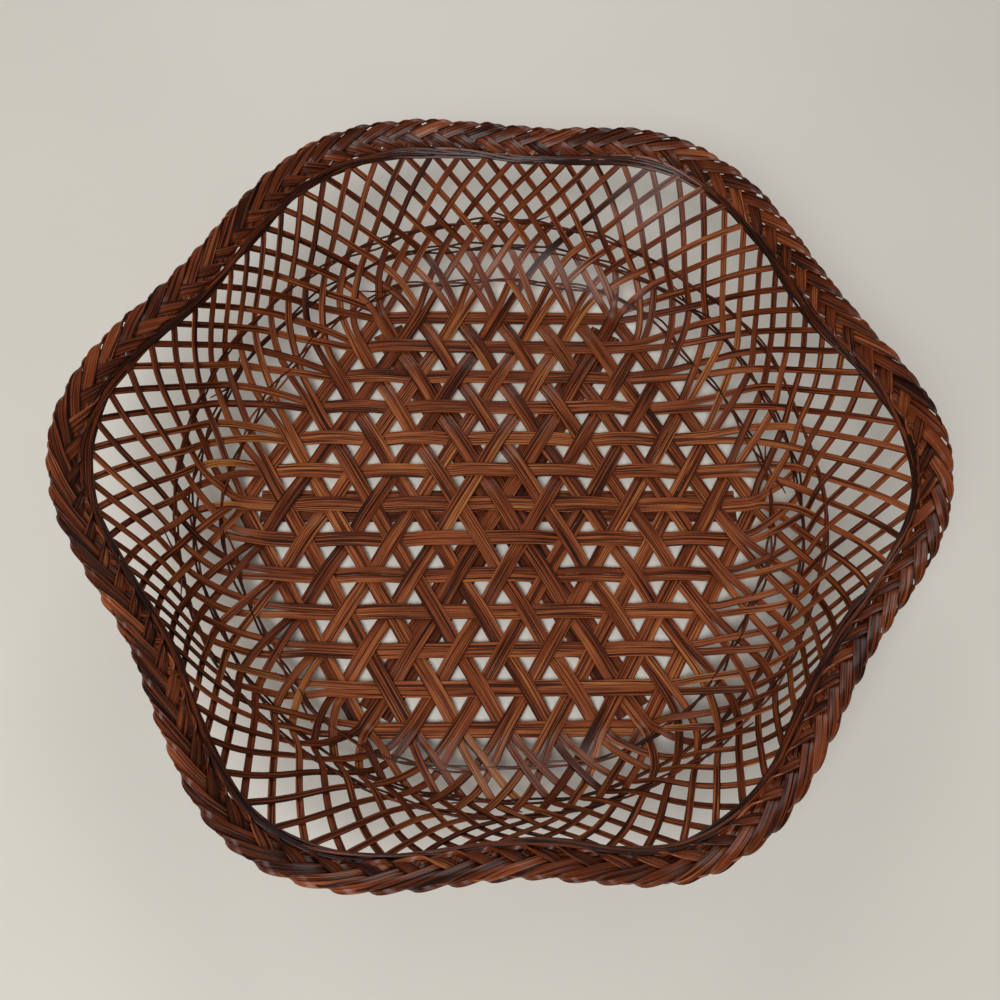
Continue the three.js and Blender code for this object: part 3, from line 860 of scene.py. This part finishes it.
def plait_place(share, phase, reach):
    """(centre, normal, width share) of a plait strip at a share of the way round the rim."""
    turn = (PLAIT_TURNS * share + phase) % 1
    if turn < PLAIT_INWARD_SHARE:
        theta = math.pi * turn / PLAIT_INWARD_SHARE
    else:
        theta = math.pi * (1 + (turn - PLAIT_INWARD_SHARE) / (1 - PLAIT_INWARD_SHARE))
    middle, outward, up = rim_frame(share * TURN)
    face = math.tanh(PLAIT_FOLD * math.sin(theta))
    fold = math.sqrt(1 - face * face)
    across = math.asin(PLAIT_CORNER * math.cos(theta)) / math.asin(PLAIT_CORNER)
    lift = PLAIT_LIFT * face * math.tanh(PLAIT_DIVE_SLOPE * (across - PLAIT_DIVE))
    centre = middle + outward * (PLAIT_MIDDLE + reach * across) + up * lift
    onward = heading(share * TURN + 90)
    return centre, up * face + outward * fold + onward * (PLAIT_TILT * face), 1 - PLAIT_PINCH * fold


class BASKET_OT_rim_plait(bpy.types.Operator):
    """Plaits the flat rim band out of five strips, each of two splints side by side"""
    bl_idname = "basket.rim_plait"
    bl_label = "Rim plait"

    def execute(self, context):
        sizes = context.scene.basket_sizes
        material = smoked_bamboo("Smoked bamboo rim strip", tone=0.42, spread=0.34, roughness=0.38,
                                 coat=0.2, fibre=0.7)
        steps = PLAIT_TURNS * PLAIT_STEPS
        for i in range(PLAIT_STRIPS):
            seed = i + PLAIT_SEED
            places = []
            for step in range(steps + PLAIT_OVERLAP):
                share = step / steps + i * PLAIT_STRIP_START
                reach = sizes.plait_reach / MM + wander(seed, share * PLAIT_DRIFT_RATE, PLAIT_DRIFT)
                places.append(plait_place(share, i / PLAIT_STRIPS, reach))
            course = [(centre, normal) for centre, normal, _ in places]
            strip = bent_strip(course, sizes.plait_strip / MM, sizes.plait_thickness / MM,
                               hand(seed), groove=PLAIT_GROOVE, narrow=lambda k: places[k][2])
            node = f"rim_plait_strand_{min(i + 1, PLAIT_SOLIDS)}"
            add_piece(f"rim_plait_strip_{i + 1}", [strip], material, "rim_splint", node)
        return {"FINISHED"}


class BASKET_OT_rim_bundle(bpy.types.Operator):
    """Lays the fine strands along the inner edge of the rim"""
    bl_idname = "basket.rim_bundle"
    bl_label = "Rim bundle"

    def execute(self, context):
        size = context.scene.basket_sizes.bundle_strand / MM
        material = smoked_bamboo("Dark lacquered bundle strand", tone=0.28, spread=0.4,
                                 roughness=0.33, coat=0.3)
        for number, across in enumerate(BUNDLE_PLACES):
            strips = []
            for strand in range(BUNDLE_STRANDS):
                seed = number * 7 + strand + BUNDLE_SEED
                phase = strand * BUNDLE_STRAND_PHASE + number
                start = BUNDLE_STRAND_START * strand + BUNDLE_START * number
                course = []
                for step in range(BUNDLE_STEPS + 1):
                    angle = start + BUNDLE_LENGTH * step / BUNDLE_STEPS
                    middle, outward, up = rim_frame(angle)
                    turn = math.radians(angle * BUNDLE_TWISTS) + phase
                    side = (across + BUNDLE_TWIST_REACH * math.sin(turn)
                            + wander(seed, angle * 0.09, 2.0))
                    lift = (number * BUNDLE_STEP_UP + BUNDLE_TWIST_REACH * math.cos(turn)
                            + wander(seed + 3, angle * 0.06, 0.8))
                    course.append((middle + outward * side + up * lift, up))
                width = size * (0.8 + 0.5 * hand(seed))
                strips.append(bent_strip(course, width, size * BUNDLE_FLATNESS, hand(seed + 1),
                                         edge=STRAND_EDGE, taper=STRAND_TAPER))
            add_piece(f"rim_bundle_{number + 1}", strips, material, "dark_binding",
                      f"rim_binder_{number + 1}")
        return {"FINISHED"}


# ---- Floor, light and camera ----

class BASKET_OT_stage(bpy.types.Operator):
    """Sets the pale floor, the soft studio light and the camera"""
    bl_idname = "basket.stage"
    bl_label = "Floor, light and camera"

    def execute(self, context):
        scene = context.scene
        scene.view_settings.view_transform = "Standard"
        colours = scene.basket_colours
        bm = bmesh.new()
        bmesh.ops.create_circle(bm, cap_ends=True, segments=64, radius=FLOOR_RADIUS)
        mesh = bpy.data.meshes.new("floor")
        bm.to_mesh(mesh)
        bm.free()
        floor = bpy.data.objects.new("floor", mesh)
        paint = bpy.data.materials.new("Matt pale floor")
        paint.use_nodes = True
        tree = paint.node_tree
        shader = tree.nodes["Principled BSDF"]
        place = add_node(tree, "ShaderNodeTexCoord").outputs["Object"]
        cloud = add_node(tree, "ShaderNodeTexNoise", Vector=place, Scale=9.0, Detail=3.0)
        soft = [c * 0.97 for c in colours.floor]
        tone = colour_ramp(tree, cloud.outputs["Fac"], [(0.3, soft), (0.7, colours.floor)])
        tree.links.new(tone, shader.inputs["Base Color"])
        shader.inputs["Roughness"].default_value = 0.6
        mesh.materials.append(paint)
        floor.location.z = -FLOOR_GAP * MM
        scene.collection.objects.link(floor)

        world = bpy.data.worlds.new("Pale room")
        world.use_nodes = True
        scene.world = world
        sky = world.node_tree.nodes["Background"]
        sky.inputs["Color"].default_value = (*linear(SKY_COLOUR), 1)
        sky.inputs["Strength"].default_value = SKY_STRENGTH
        for name, place, size, power in LAMPS:
            lamp = bpy.data.lights.new(name, "AREA")
            lamp.size = size
            lamp.energy = power
            light = bpy.data.objects.new(name, lamp)
            light.location = place
            light.rotation_euler = (-Vector(place)).to_track_quat("-Z", "Y").to_euler()
            scene.collection.objects.link(light)

        pitch, yaw, roll = (math.radians(a) for a in (CAMERA_PITCH, CAMERA_YAW, CAMERA_ROLL))
        look = Vector((math.sin(yaw) * math.cos(pitch), math.cos(yaw) * math.cos(pitch),
                       -math.sin(pitch)))
        right = Vector((math.cos(yaw), -math.sin(yaw), 0))
        above = right.cross(look)
        right, above = (right * math.cos(roll) + above * math.sin(roll),
                        above * math.cos(roll) - right * math.sin(roll))
        target = Vector((*CAMERA_TARGET, BASE_PLANE)) + CENTRE
        lens = bpy.data.cameras.new("camera")
        lens.sensor_width = SENSOR_WIDTH
        lens.lens = SENSOR_WIDTH * LENS_SHARE
        camera = bpy.data.objects.new("camera", lens)
        turned = Matrix((right, above, -look)).transposed().to_4x4()
        camera.matrix_world = Matrix.Translation((target - look * CAMERA_DISTANCE) * MM) @ turned
        scene.collection.objects.link(camera)
        scene.camera = camera
        return {"FINISHED"}


class BASKET_PT_panel(bpy.types.Panel):
    """Lists the basket's pieces"""
    bl_idname = "BASKET_PT_panel"
    bl_label = "Bamboo basket"
    bl_space_type = "VIEW_3D"
    bl_region_type = "UI"
    bl_category = "Basket"

    def draw(self, context):
        for group in (context.scene.basket_sizes, context.scene.basket_colours):
            for key in group.bl_rna.properties.keys():
                if key not in ("rna_type", "name"):
                    self.layout.prop(group, key)
        for operator in OPERATORS:
            self.layout.operator(operator.bl_idname)


OPERATORS = (BASKET_OT_stage, BASKET_OT_weavers, BASKET_OT_slats, BASKET_OT_hoops,
             BASKET_OT_rim_plait, BASKET_OT_rim_bundle)
CLASSES = (BasketSizes, BasketColours, *OPERATORS, BASKET_PT_panel)


def register():
    """Registers the settings, the operators and the panel."""
    for cls in CLASSES:
        bpy.utils.register_class(cls)
    bpy.types.Scene.basket_sizes = bpy.props.PointerProperty(type=BasketSizes)
    bpy.types.Scene.basket_colours = bpy.props.PointerProperty(type=BasketColours)


def unregister():
    """Takes them out again."""
    del bpy.types.Scene.basket_colours
    del bpy.types.Scene.basket_sizes
    for cls in reversed(CLASSES):
        bpy.utils.unregister_class(cls)


def main():
    """Builds the basket and its stage."""
    register()
    bpy.ops.basket.stage()
    bpy.ops.basket.weavers()
    bpy.ops.basket.slats()
    bpy.ops.basket.hoops()
    bpy.ops.basket.rim_plait()
    bpy.ops.basket.rim_bundle()


if __name__ == "__main__":
    main()
